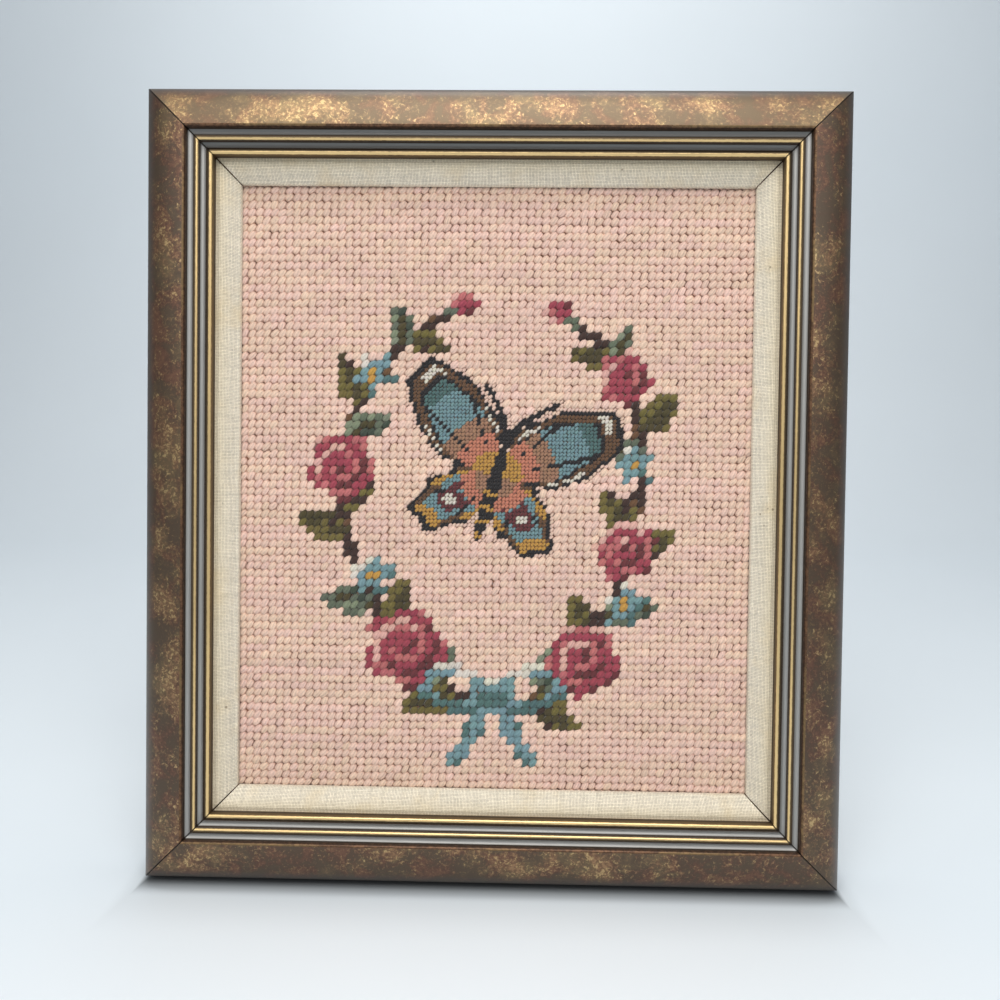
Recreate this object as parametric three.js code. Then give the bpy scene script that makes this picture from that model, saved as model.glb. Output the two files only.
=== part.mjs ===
// A stitched wool picture in a mitred wooden frame with a linen-covered liner.
//
// Millimetres, +Z up. The picture stands on its bottom edge and faces -Y.
// The origin is the middle of the underside of the whole object.
//
// The frame and the liner are each four straight members with 45 degree mitres.
// Both are drawn once as a section of (u, h): u runs inwards from the outside of
// the frame, and h runs forwards from its back.

import * as THREE from "three";

// Driving dimensions
const WIDTH = 230; // across the outside of the frame
const HEIGHT = 261; // from the underside to the top of the frame
const DEPTH = 20; // from the back of the frame to the crest of its moulding
const CLEARANCE = 0.3; // between one piece and the next
const ARC_STEPS = 6; // facets in each bead, cove and nose

// Moulding, from the outside inwards
const SIDE_HEIGHT = 12.6; // flat outer side, up to where the shoulder starts
const CREST_U = 13.6; // where the bronze band ends, at its highest
const BAND_PULL = 18.2; // height of the corner that the band's curve bends around
const LIP_RUN = 0.65; // rounded copper edge of the band
const LIP_FALL = 0.4;
const STEP_U = 14.55; // foot of the step behind that edge
const STEP_HEIGHT = 18.3;
const OUTER_COVE = { start: 14.65, end: 16.5, height: 18.0, sag: 0.6 };
const OUTER_BEAD = { centre: 17.55, height: 17.9, radius: 0.75 };
const INNER_COVE = { start: 18.35, end: 20.15, height: 16.6, sag: 0.7 };
const INNER_BEAD = { centre: 21.4, height: 15.9, radius: 0.85 };
const SIGHT_U = INNER_BEAD.centre + INNER_BEAD.radius; // inner side of the moulding
const LIP_UNDERSIDE = 13.0; // underside of the lip that the liner sits behind
const RABBET_U = 16.0; // outer wall of the rabbet

// Liner, which sits in the rabbet behind the moulding's lip
const LINER_TOP = LIP_UNDERSIDE - CLEARANCE;
const LINER_BACK = 6.6;
const LINER_SHOULDER_U = 22.6; // where the flat top turns into the slope
const LINER_SLOPE_END = { u: 28.0, h: 9.1 }; // where the slope turns into the nose
const LINER_NOSE_U = 29.2; // innermost point, at the edge of the stitching
const LINER_NOSE_HEIGHT = 7.6;

// Stitched canvas and the board that it is mounted on
const CLOTH_THICKNESS = 2.0;
const CLOTH_FRONT = LINER_BACK - CLEARANCE;
const CLOTH_RISE = 0.22; // how far the stretched cloth swells and dips
const CLOTH_COLUMNS = 24;
const CLOTH_ROWS = 28;
const BOARD_THICKNESS = 3.0;
const BOARD_FRONT = CLOTH_FRONT - CLOTH_THICKNESS - CLEARANCE;
const PACK_INSET = RABBET_U + CLEARANCE; // outer edge of liner, cloth and board

const finish = (color, roughness, metalness = 0) =>
  new THREE.MeshStandardMaterial({ color, roughness, metalness });

const mouldingFinish = finish(0x6b533f, 0.45, 0.3);
const linenFinish = finish(0xd8ceb6, 0.9);
const clothFinish = finish(0xd9b7a3, 0.95);
const boardFinish = finish(0x8a7150, 0.85);

// A hollow between two points of a section, as part of a circle.
function addCove(shape, { start, end, height, sag }) {
  const half = (end - start) / 2;
  const radius = (half * half + sag * sag) / (2 * sag);
  const turn = Math.asin(half / radius);
  const down = -Math.PI / 2;
  shape.lineTo(start, height);
  shape.absarc(start + half, height - sag + radius, radius, down - turn, down + turn, false);
}

// A half-round bead, from its outer foot over the top to its inner foot.
function addBead(shape, { centre, height, radius }) {
  shape.lineTo(centre - radius, height);
  shape.absarc(centre, height, radius, Math.PI, 0, true);
}

function mouldingSection() {
  const shape = new THREE.Shape();
  shape.moveTo(0, 0);
  shape.lineTo(0, SIDE_HEIGHT);
  shape.quadraticCurveTo(0, BAND_PULL, CREST_U, DEPTH);
  shape.lineTo(CREST_U + LIP_RUN, DEPTH - LIP_FALL);
  shape.lineTo(STEP_U, STEP_HEIGHT);
  addCove(shape, OUTER_COVE);
  addBead(shape, OUTER_BEAD);
  addCove(shape, INNER_COVE);
  addBead(shape, INNER_BEAD);
  shape.lineTo(SIGHT_U, LIP_UNDERSIDE);
  shape.lineTo(RABBET_U, LIP_UNDERSIDE);
  shape.lineTo(RABBET_U, 0);
  shape.closePath();
  return shape;
}

function linerSection() {
  const { u, h } = LINER_SLOPE_END;
  const shape = new THREE.Shape();
  shape.moveTo(PACK_INSET, LINER_BACK);
  shape.lineTo(PACK_INSET, LINER_TOP);
  shape.lineTo(LINER_SHOULDER_U, LINER_TOP);
  shape.quadraticCurveTo(LINER_SHOULDER_U + 2.4, LINER_TOP, u, h);
  shape.quadraticCurveTo(LINER_NOSE_U, h - 0.8, LINER_NOSE_U, LINER_NOSE_HEIGHT);
  shape.lineTo(LINER_NOSE_U, LINER_BACK);
  shape.closePath();
  return shape;
}

// A straight member with a mitre at each end. The section's prism is one unit long;
// each end is then pulled out to the mitre plane, which is u short of the corner.
function mitredMember(section, length) {
  const geometry = new THREE.ExtrudeGeometry(section, {
    depth: 1,
    steps: 1,
    bevelEnabled: false,
    curveSegments: ARC_STEPS,
  });
  const mitreClearance = CLEARANCE / Math.SQRT2;
  const points = geometry.getAttribute("position");
  for (let i = 0; i < points.count; i += 1) {
    const u = points.getX(i);
    const h = points.getY(i);
    const side = points.getZ(i) > 0.5 ? 1 : -1;
    points.setXYZ(i, side * (length / 2 - u - mitreClearance), -h, u);
  }
  return geometry;
}

// Four members around the picture's centre, each named kind_place.
function addMembers(parent, kind, section, material) {
  const places = [
    { place: "bottom", turn: 0, length: WIDTH, reach: HEIGHT / 2 },
    { place: "left", turn: Math.PI / 2, length: HEIGHT, reach: WIDTH / 2 },
    { place: "top", turn: Math.PI, length: WIDTH, reach: HEIGHT / 2 },
    { place: "right", turn: -Math.PI / 2, length: HEIGHT, reach: WIDTH / 2 },
  ];
  for (const { place, turn, length, reach } of places) {
    const mesh = new THREE.Mesh(mitredMember(section, length), material);
    mesh.name = `${kind}_${place}`;
    mesh.position.z = -reach;
    const pivot = new THREE.Group();
    pivot.rotation.y = turn;
    pivot.add(mesh);
    parent.add(pivot);
  }
}

// A flat piece behind the liner, with its front at the given height above the back.
function addPanel(parent, name, front, thickness, columns, rows, material) {
  const width = WIDTH - 2 * PACK_INSET;
  const height = HEIGHT - 2 * PACK_INSET;
  const geometry = new THREE.BoxGeometry(width, thickness, height, columns, 1, rows);
  const mesh = new THREE.Mesh(geometry, material);
  mesh.name = name;
  mesh.position.y = -(front - thickness / 2);
  parent.add(mesh);
  return mesh;
}

// The swell of the stretched cloth, nothing under the liner and in its corners.
function swell(x, z) {
  const halfWidth = WIDTH / 2 - LINER_NOSE_U;
  const halfHeight = HEIGHT / 2 - LINER_NOSE_U;
  const a = x / halfWidth;
  const b = z / halfHeight;
  if (Math.abs(a) >= 1 || Math.abs(b) >= 1) return 0;
  const fade = (1 - a * a) * (1 - b * b);
  const waves = Math.sin(2.1 * a + 0.6) * Math.cos(2.6 * b - 0.4) + 0.5 * Math.sin(4.3 * b + a);
  return CLOTH_RISE * fade * waves;
}

// Only the cloth's face swells; its back stays flat against the board.
function swellCloth(mesh) {
  const points = mesh.geometry.getAttribute("position");
  for (let i = 0; i < points.count; i += 1) {
    const y = points.getY(i);
    if (y < 0) points.setY(i, y - swell(points.getX(i), points.getZ(i)));
  }
}

const picture = new THREE.Group();
picture.position.set(0, DEPTH / 2, HEIGHT / 2);

addMembers(picture, "frame_rail", mouldingSection(), mouldingFinish);
addMembers(picture, "liner", linerSection(), linenFinish);
swellCloth(
  addPanel(
    picture,
    "needlepoint_canvas",
    CLOTH_FRONT,
    CLOTH_THICKNESS,
    CLOTH_COLUMNS,
    CLOTH_ROWS,
    clothFinish,
  ),
);
addPanel(picture, "mounting_board", BOARD_FRONT, BOARD_THICKNESS, 1, 1, boardFinish);

const object = new THREE.Group();
object.add(picture);

export default object;
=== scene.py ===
"""A needlepoint picture in a mitred frame with a linen liner, built around its CAD model.

Metres, +Z up. The picture stands on its bottom edge and faces -Y. Sections of the frame and the
liner are in millimetres: u runs inwards from the outside of the frame, h forwards from its back.
"""

import math

import bpy
import numpy as np
from mathutils import Matrix, Vector


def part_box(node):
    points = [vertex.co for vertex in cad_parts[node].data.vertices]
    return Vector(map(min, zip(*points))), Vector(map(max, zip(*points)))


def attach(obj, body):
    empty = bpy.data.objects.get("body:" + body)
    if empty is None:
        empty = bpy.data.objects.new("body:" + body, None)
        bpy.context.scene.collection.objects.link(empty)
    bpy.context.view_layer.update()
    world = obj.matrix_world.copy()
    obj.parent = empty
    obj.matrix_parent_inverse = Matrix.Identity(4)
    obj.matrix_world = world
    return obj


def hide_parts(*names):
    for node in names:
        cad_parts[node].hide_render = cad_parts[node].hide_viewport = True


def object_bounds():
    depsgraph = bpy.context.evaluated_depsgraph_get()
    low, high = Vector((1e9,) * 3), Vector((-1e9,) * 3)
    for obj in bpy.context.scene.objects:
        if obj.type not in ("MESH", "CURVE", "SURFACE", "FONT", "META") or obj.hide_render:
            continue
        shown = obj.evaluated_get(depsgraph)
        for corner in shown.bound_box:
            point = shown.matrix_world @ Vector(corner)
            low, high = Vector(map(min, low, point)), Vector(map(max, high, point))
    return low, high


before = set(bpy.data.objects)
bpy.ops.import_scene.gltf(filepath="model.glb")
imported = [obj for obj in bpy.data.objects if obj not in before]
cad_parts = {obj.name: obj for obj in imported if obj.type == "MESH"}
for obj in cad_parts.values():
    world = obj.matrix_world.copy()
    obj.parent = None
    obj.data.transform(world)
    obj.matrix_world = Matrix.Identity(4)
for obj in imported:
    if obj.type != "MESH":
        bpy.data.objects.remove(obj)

bl_info = {
    "name": "Framed Needlepoint Picture",
    "version": (1, 0, 0),
    "blender": (4, 5, 0),
    "location": "View3D > Sidebar > Needlepoint",
    "description": "Adds a framed needlepoint picture piece by piece, and a stage to show it on",
    "category": "Add Mesh",
}

BODY = "root"
SEED = 7
MM = 0.001

# The CAD model's box, straight after loading, and what follows from it
LOW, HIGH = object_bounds()
WIDTH = HIGH.x - LOW.x
HEIGHT = HIGH.z - LOW.z
BACK = HIGH.y
MIDDLE_Z = (LOW.z + HIGH.z) / 2

# Section of the moulding
SIDE_HEIGHT = 12.6
BAND_PULL = 18.2
CREST = (13.6, 20.0)
LIP_PULL = (14.5, 20.0)
STEP_FOOT = (14.55, 18.3)
OUTER_COVE = {"start": 14.65, "end": 16.5, "height": 18.0, "sag": 0.6}
OUTER_BEAD = {"centre": 17.55, "height": 17.9, "radius": 0.75}
INNER_COVE = {"start": 18.35, "end": 20.15, "height": 16.6, "sag": 0.7}
INNER_BEAD = {"centre": 21.4, "height": 15.9, "radius": 0.85}
SIGHT_U = INNER_BEAD["centre"] + INNER_BEAD["radius"]
LIP_UNDERSIDE = 13.0
RABBET_U = 16.0
ARRIS = 0.5
# How fast the joint of two rails closes, for each unit inwards and backwards
RAIL_MITRE = {"inwards": -0.0035, "backwards": 0.005}

# Section of the liner
PACK_INSET = 16.3
LINER_BACK = 6.6
LINER_TOP = 12.7
LINER_SHOULDER = 22.6
LINER_SLOPE_PULL = 25.0
LINER_SLOPE_END = (28.0, 9.1)
LINER_NOSE = (29.2, 7.6)
LINER_NOSE_PULL = 8.3
# The open joint of two strips at their outside, and how fast it closes for each unit inwards
LINER_MITRE = {"gap": 0.9 * MM, "inwards": 0.0138}

# Cloth and board
CLOTH_RISE = 0.22
BOARD_FRONT = 4.0
BOARD_BACK = 1.0
BOARD_BEVEL = 0.4
HALF_OPENING_X = WIDTH / MM / 2 - LINER_NOSE[0]
HALF_OPENING_Z = HEIGHT / MM / 2 - LINER_NOSE[0]

# Members of the frame and the liner: how far each is turned, and how far it lies from the middle
PLACES = {
    "bottom": {"turn": 0.0, "length": WIDTH, "reach": HEIGHT / 2},
    "left": {"turn": math.pi / 2, "length": HEIGHT, "reach": WIDTH / 2},
    "top": {"turn": math.pi, "length": WIDTH, "reach": HEIGHT / 2},
    "right": {"turn": -math.pi / 2, "length": HEIGHT, "reach": WIDTH / 2},
}


def linear(red, green, blue):
    """A linear colour from the usual 0 to 255 screen values."""
    return tuple(
        value / 255 / 12.92 if value <= 10 else ((value / 255 + 0.055) / 1.055) ** 2.4
        for value in (red, green, blue)
    )


# Yarn colours as screen values
YARNS = {
    "shell_pink": (234, 203, 187),
    "wine": (104, 48, 52),
    "rose": (158, 66, 82),
    "blush": (190, 110, 112),
    "petal": (222, 176, 166),
    "bark": (62, 42, 36),
    "walnut": (106, 76, 52),
    "moss": (74, 66, 38),
    "olive": (110, 100, 52),
    "pine": (62, 74, 62),
    "sage": (98, 108, 92),
    "eucalyptus": (130, 140, 118),
    "teal": (80, 112, 112),
    "sky": (118, 152, 160),
    "cream": (224, 220, 208),
    "honey": (196, 150, 72),
    "salmon": (204, 132, 108),
    "ink": (32, 28, 32),
    "tan": (165, 125, 100),
}
GROUND = "shell_pink"


# ---------------------------------------------------------------------------------------------
# Settings


def colour_setting(name, description, red, green, blue):
    """A colour to choose, whose default is given as screen values."""
    return bpy.props.FloatVectorProperty(
        name=name,
        description=description,
        default=linear(red, green, blue),
        subtype="COLOR",
        size=3,
        min=0.0,
        max=1.0,
    )


def length_setting(name, description, default):
    """A length to choose, in metres."""
    return bpy.props.FloatProperty(
        name=name,
        description=description,
        default=default,
        min=0.0,
        subtype="DISTANCE",
        unit="LENGTH",
        precision=5,
    )


def power_setting(name, description, default):
    """The power of a light to choose, in watts."""
    return bpy.props.FloatProperty(
        name=name, description=description, default=default, min=0.0, unit="POWER"
    )


class MouldingSettings(bpy.types.PropertyGroup):
    """Sizes and colours of the wooden moulding."""

    mitre_gap: length_setting("Mitre gap", "Open joint at the outside of two rails", 0.14 * MM)
    bronze: colour_setting("Bronze", "Ground colour of the mottled band", 89, 73, 57)
    plum: colour_setting("Plum", "Redder clouds in the band", 92, 64, 51)
    olive_leaf: colour_setting("Olive leaf", "Flecks of metal leaf in the band", 172, 146, 98)
    copper: colour_setting("Copper", "Rubbed patches and edge of the band", 140, 100, 75)
    smoke: colour_setting("Smoke", "Greyed outer part of the band", 102, 97, 92)
    grey: colour_setting("Grey", "Painted coves", 176, 175, 172)
    gilt: colour_setting("Gilt", "Beads", 236, 205, 147)
    # umber is also the colour of painted shade below the lip's crest, on the beads' flanks, in
    # the coves' corners and deeper into the sight
    umber: colour_setting("Umber", "Wash in the hollows beside the beads", 58, 42, 26)
    raw_wood: colour_setting("Raw wood", "Unpainted back and rabbet", 196, 160, 116)


class LinerSettings(bpy.types.PropertyGroup):
    """Sizes and colours of the linen-covered liner."""

    thread_pitch: length_setting("Thread pitch", "From one linen thread to the next", 0.48 * MM)
    linen: colour_setting("Linen", "Thread colour", 250, 243, 224)
    shade: colour_setting("Shade", "Colour between the threads", 128, 108, 80)
    stain: colour_setting("Stain", "Aged patches", 226, 198, 142)


class NeedleworkSettings(bpy.types.PropertyGroup):
    """Sizes of the stitches, and the canvas and board behind them."""

    columns: bpy.props.IntProperty(
        name="Columns", description="Stitches across the cloth", default=70, min=10
    )
    rows: bpy.props.IntProperty(
        name="Rows", description="Stitches up the cloth", default=82, min=10
    )
    pitch: length_setting("Pitch", "From one stitch to the next", 2.54 * MM)
    canvas_front: length_setting("Canvas front", "From the frame's back to the canvas", 5.4 * MM)
    canvas_thickness: length_setting("Canvas thickness", "Thickness of the canvas", 1.0 * MM)
    lean: bpy.props.FloatProperty(
        name="Lean",
        description="Slope of a stitch, from the lower left to the upper right",
        default=math.radians(48),
        subtype="ANGLE",
    )
    # the canvas's brown is partly painted shade for the gaps between stitches
    canvas: colour_setting("Canvas", "Canvas threads under the wool", 205, 148, 116)
    board: colour_setting("Board", "Fibreboard behind the canvas", 128, 98, 66)


class YarnSettings(bpy.types.PropertyGroup):
    """One colour for each yarn."""

    __annotations__ = {
        name: colour_setting(name.replace("_", " ").capitalize(), "Colour of this yarn", *rgb)
        for name, rgb in YARNS.items()
    }


class StageSettings(bpy.types.PropertyGroup):
    """Floor, light and camera."""

    floor: colour_setting("Floor", "Floor and backdrop", 231, 239, 245)
    room: colour_setting("Room", "Light from all round", 152, 158, 164)
    room_strength: bpy.props.FloatProperty(
        name="Room strength", description="Brightness of the surroundings", default=0.62, min=0.0
    )
    key_power: power_setting("Key power", "Large soft light above and in front", 5.9)
    fill_power: power_setting("Fill power", "Soft light from each side", 1.5)
    top_power: power_setting("Top power", "Soft light right above", 2.5)
    back_power: power_setting("Back power", "Light on the backdrop", 2.0)
    lens: bpy.props.FloatProperty(
        name="Lens", description="Focal length in millimetres", default=31.97, min=1.0
    )


def settings(kind):
    """The settings of one kind, as the scene has them now."""
    return getattr(bpy.context.scene, f"needlepoint_{kind}")


# ---------------------------------------------------------------------------------------------
# Materials


def maths(operation, swapped=False):
    """A method of a value that adds one Math node. Swapped, the value comes last."""

    def method(self, *others):
        values = (*others, self) if swapped else (self, *others)
        return self.finish.node(
            "ShaderNodeMath", {"operation": operation}, dict(enumerate(values))
        )

    return method


class Value:
    """A number of a material. The usual operators add the Math nodes that work it out."""

    def __init__(self, finish, socket):
        self.finish = finish
        self.socket = socket

    __add__ = __radd__ = maths("ADD")
    __sub__ = maths("SUBTRACT")
    __rsub__ = maths("SUBTRACT", swapped=True)
    __mul__ = __rmul__ = maths("MULTIPLY")
    __truediv__ = maths("DIVIDE")
    __abs__ = maths("ABSOLUTE")
    sin = maths("SINE")
    sign = maths("SIGN")
    floor = maths("FLOOR")
    most = maths("MAXIMUM")
    least = maths("MINIMUM")

    def clipped(self):
        return self.least(1.0).most(0.0)

    def above(self, low, high):
        """0 below low, 1 above high, and smooth between them."""
        return self.finish.node(
            "ShaderNodeMapRange",
            {"interpolation_type": "SMOOTHSTEP"},
            {"Value": self, "From Min": low, "From Max": high},
        )

    def near(self, middle, reach):
        """1 at middle, falling to 0 at reach to either side."""
        return 1 - abs(self - middle).above(0.0, reach)


class Finish:
    """A node material, put together from expressions."""

    def __init__(self, name):
        self.material = bpy.data.materials.new(name)
        self.material.use_nodes = True
        self.tree = self.material.node_tree
        self.tree.nodes.clear()
        self.shader = self.tree.nodes.new("ShaderNodeBsdfPrincipled")
        output = self.tree.nodes.new("ShaderNodeOutputMaterial")
        self.tree.links.new(self.shader.outputs["BSDF"], output.inputs["Surface"])

    def node(self, kind, choices=None, values=None, output=0):
        """Adds a node: its choices are set first, then its sockets get values or links."""
        node = self.tree.nodes.new(kind)
        for key, choice in (choices or {}).items():
            setattr(node, key, choice)
        for key, value in (values or {}).items():
            self.feed(self.open_socket(node.inputs, key), value)
        return Value(self, self.open_socket(node.outputs, output))

    def open_socket(self, sockets, key):
        """A socket by its name or number, passing over those of a node's other modes."""
        if isinstance(key, str):
            return next(s for s in sockets if s.name == key and s.enabled)
        return [s for s in sockets if s.enabled][key]

    def feed(self, socket, value):
        if isinstance(value, Value):
            self.tree.links.new(value.socket, socket)
        elif socket.type == "RGBA":
            socket.default_value = (*value, 1.0)
        else:
            socket.default_value = value

    def set(self, **values):
        """Feeds the shader. A name's underscores stand for spaces, as in base_color."""
        for key, value in values.items():
            self.feed(self.shader.inputs[key.replace("_", " ").title()], value)
        return self

    def place(self, scale=1.0):
        """Where a point is in the picture's own frame."""
        return self.each("MULTIPLY", self.node("ShaderNodeTexCoord", output="Object"), scale)

    def chart(self, scale=1.0, shift=0.0):
        """Place on the piece's own map: along it and across it."""
        spot = self.node("ShaderNodeUVMap", {"uv_map": "UVMap"})
        return self.each("ADD", self.each("MULTIPLY", spot, scale), shift)

    def each(self, operation, vector, number):
        """The same sum done on each part of a vector."""
        values = {0: vector, 1: (number, number, number)}
        return self.node("ShaderNodeVectorMath", {"operation": operation}, values)

    def split(self, vector):
        node = self.tree.nodes.new("ShaderNodeSeparateXYZ")
        self.feed(node.inputs[0], vector)
        return [Value(self, s) for s in node.outputs]

    def vector(self, x, y, z=0.0):
        return self.node("ShaderNodeCombineXYZ", values={"X": x, "Y": y, "Z": z})

    def attribute(self, name):
        return self.node("ShaderNodeAttribute", {"attribute_name": name}, output="Fac")

    def off_mitre(self, reach):
        """0 at a mitre, rising to 1 at reach millimetres from it."""
        nearest = self.attribute("to_one_mitre").least(self.attribute("to_other_mitre"))
        return nearest.above(0.12, reach)

    def noise(self, vector, scale, detail=2.0, roughness=0.5, distortion=0.0):
        values = {
            "Vector": vector,
            "Scale": scale,
            "Detail": detail,
            "Roughness": roughness,
            "Distortion": distortion,
        }
        return self.node("ShaderNodeTexNoise", values=values)

    def streaks(self, *place, detail=3.0, roughness=0.6):
        """Noise at a place whose parts are stretched or squeezed."""
        return self.noise(self.vector(*place), 1.0, detail, roughness)

    def specks(self, vector, scale):
        """Distance from the nearest of many scattered points, in units of their spacing."""
        values = {"Vector": vector, "Scale": scale}
        return self.node("ShaderNodeTexVoronoi", values=values, output="Distance")

    def lottery(self, vector):
        """A fixed random number for each whole-numbered place."""
        return self.node("ShaderNodeTexWhiteNoise", values={"Vector": vector}, output="Value")

    def mix(self, share, first, second):
        """A colour between two, by a share from 0 to 1."""
        values = {"Factor": share, "A": first, "B": second}
        return self.node("ShaderNodeMix", {"data_type": "RGBA"}, values)

    def lit(self, colour, amount):
        """A colour times a number."""
        values = {"Vector": colour, "Scale": amount}
        return self.node("ShaderNodeVectorMath", {"operation": "SCALE"}, values)

    def bump(self, height, distance, strength=1.0):
        """A normal from a height from 0 to 1, where 1 stands distance metres proud."""
        values = {"Strength": strength, "Distance": distance, "Height": height}
        return self.node("ShaderNodeBump", values=values)

    def weave(self, along, across):
        """Height of a plain weave, from 0 to 1. A thread is one unit wide."""
        warp_side = (along * math.pi).sin()
        weft_side = (across * math.pi).sin()
        warp = abs(warp_side) * (0.62 + 0.38 * warp_side.sign() * weft_side)
        weft = abs(weft_side) * (0.62 - 0.38 * weft_side.sign() * warp_side)
        return warp.most(weft)


def pattern_shift(place):
    """How far a rail's pattern is moved, so that no two rails are alike."""
    return 400.0 * (1 + list(PLACES).index(place))


def bronze_finish(place):
    """Mottled bronze: flecks of leaf over clouded brown, greyed outside, most golden on top as a
    painted highlight.
    """
    look = settings("moulding")
    finish = Finish(f"bronze_band_{place}")
    chart = finish.chart(1 / MM, pattern_shift(place))
    inward = finish.attribute("inward")

    clouds = finish.noise(chart, 0.07, 3.0, 0.6)
    patches = finish.noise(chart, 0.12, 3.0, 0.6, 0.5)
    grains = finish.noise(chart, 0.95, 3.0, 0.62, 0.8)
    dust = finish.noise(chart, 2.6, 3.0, 0.7)
    inner = inward.above(1.0, 6.0)
    hues = finish.noise(chart, 0.45, 3.0, 0.65, 0.6)

    veil = (clouds + 0.25 * (grains - 0.5)).above(0.44, 0.66)
    flecks = grains + clouds * 0.55 + patches * 0.3 + inner * 0.06
    leaf = flecks.above(0.97, 1.09)
    bright_leaf = flecks.above(1.07, 1.17)
    rubbed = (grains * 0.5 + patches).above(0.7, 0.95)

    leaf_colour = finish.mix(hues.above(0.4, 0.56), look.olive_leaf, look.copper)
    bright_colour = finish.mix(hues.above(0.44, 0.54) * 0.7, look.gilt, look.copper)
    colour = finish.mix(patches.above(0.4, 0.62), look.bronze, look.plum)
    colour = finish.lit(colour, 0.64 + 0.44 * dust + 0.2 * clouds)
    colour = finish.mix(rubbed * 0.42, colour, look.copper)
    colour = finish.mix(veil * (0.08 + 0.1 * inner), colour, look.olive_leaf)
    colour = finish.mix(leaf * (0.12 + 0.16 * inner), colour, leaf_colour)
    colour = finish.mix(bright_leaf * 0.42 * inner, colour, bright_colour)
    colour = finish.mix((1 - inward.above(0.6, 4.5)) * 0.7, colour, look.smoke)
    # painted highlight on the top rail: more golden and lighter inwards, darker outwards
    if place == "top":
        colour = finish.mix((0.14 + 0.12 * veil) * inner, colour, look.olive_leaf)
        colour = finish.lit(colour, 0.78 + 0.3 * inner)

    height = grains * 0.6 + dust * 0.4
    finish.shader.inputs["Specular IOR Level"].default_value = 0.8
    finish.shader.inputs["Coat Weight"].default_value = 0.25
    finish.shader.inputs["Coat Roughness"].default_value = 0.34
    return finish.set(
        base_color=finish.lit(colour, finish.off_mitre(0.45)),
        metallic=0.58 + 0.08 * leaf + 0.1 * inner,
        roughness=0.48 - 0.08 * leaf + 0.16 * (dust - 0.5),
        normal=finish.bump(height, 0.05 * MM, 0.6),
    )


def side_finish():
    """The outer side of the moulding: brown stain with rubbed arrises."""
    look = settings("moulding")
    finish = Finish("stained_side")
    chart = finish.chart(1 / MM)
    along, across, _ = finish.split(chart)
    streaks = finish.streaks(along * 0.06, across * 1.4, detail=4.0)
    clouds = finish.noise(chart, 0.1, 3.0, 0.6)
    colour = finish.mix(clouds.above(0.4, 0.6), look.bronze, look.plum)
    colour = finish.mix(0.35 + 0.3 * streaks, colour, look.smoke)
    return finish.set(
        base_color=finish.lit(colour, (0.55 + 0.5 * streaks) * finish.off_mitre(0.45)),
        roughness=0.42 + 0.2 * streaks,
        normal=finish.bump(streaks, 0.06 * MM, 0.4),
    )


def lip_finish():
    """The rounded inner edge of the band, red-brown and rubbed to copper at its crest, with
    painted shade below it.
    """
    look = settings("moulding")
    finish = Finish("copper_lip")
    chart = finish.chart(1 / MM)
    forward = finish.attribute("forward")
    wear = finish.noise(chart, 0.7, 4.0, 0.7)
    crest = (forward + 0.5 * wear).above(19.6, 20.2)
    worn = (finish.noise(chart, 0.03, 3.0, 0.6) + 0.3 * (wear - 0.5)).above(0.48, 0.6)
    foot = 1 - (forward + 0.4 * wear).above(18.4, 19.2)
    colour = finish.mix(wear.above(0.42, 0.62), look.plum, look.copper)
    colour = finish.mix(crest * (0.1 + 0.4 * worn), colour, look.olive_leaf)
    # painted shade: umber below the crest, heavier at the foot of the step
    colour = finish.mix((1 - crest) * 0.6, colour, look.umber)
    colour = finish.mix(foot * 0.8, colour, look.umber)
    return finish.set(
        base_color=finish.lit(colour, finish.off_mitre(0.45) * 0.72),
        metallic=0.3 + 0.3 * crest,
        roughness=0.42,
        normal=finish.bump(wear, 0.04 * MM, 0.5),
    )


def cove_finish(place):
    """Grey semi-metallic coves, with a brown wash and painted shade in their corners, and painted
    shade over the top rail.
    """
    look = settings("moulding")
    finish = Finish(f"grey_cove_{place}")
    chart = finish.chart(1 / MM, pattern_shift(place))
    along, across, _ = finish.split(chart)
    inward = finish.attribute("inward")
    streaks = finish.streaks(along * 0.12, across * 6.0, roughness=0.55)
    clouds = finish.noise(chart, 0.08, 2.0, 0.5)
    soil = finish.noise(chart, 1.6, 3.0, 0.6)
    # the umber in the corners is a brown wash and painted shade in one
    corners = inward.near(OUTER_COVE["start"], 0.15)
    corners = corners.most(inward.near(OUTER_COVE["end"] + 0.15, 0.4))
    corners = corners.most(inward.near(INNER_COVE["start"], 0.15))
    corners = corners.most(inward.near(INNER_COVE["end"] + 0.2, 0.45))
    wash = (corners * (0.75 + 0.6 * soil)).clipped()
    # painted shade: the top rail's coves are darkened
    painted_shade = 0.55 if place == "top" else 1.0
    colour = finish.lit(look.grey, painted_shade * (0.84 + 0.28 * streaks + 0.12 * clouds))
    return finish.set(
        base_color=finish.lit(finish.mix(wash, colour, look.umber), finish.off_mitre(0.4)),
        metallic=0.72 * (1 - wash),
        roughness=0.5 + 0.12 * streaks + 0.2 * wash,
        normal=finish.bump(streaks * 0.7 + soil * 0.3, 0.03 * MM, 0.5),
    )


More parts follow.
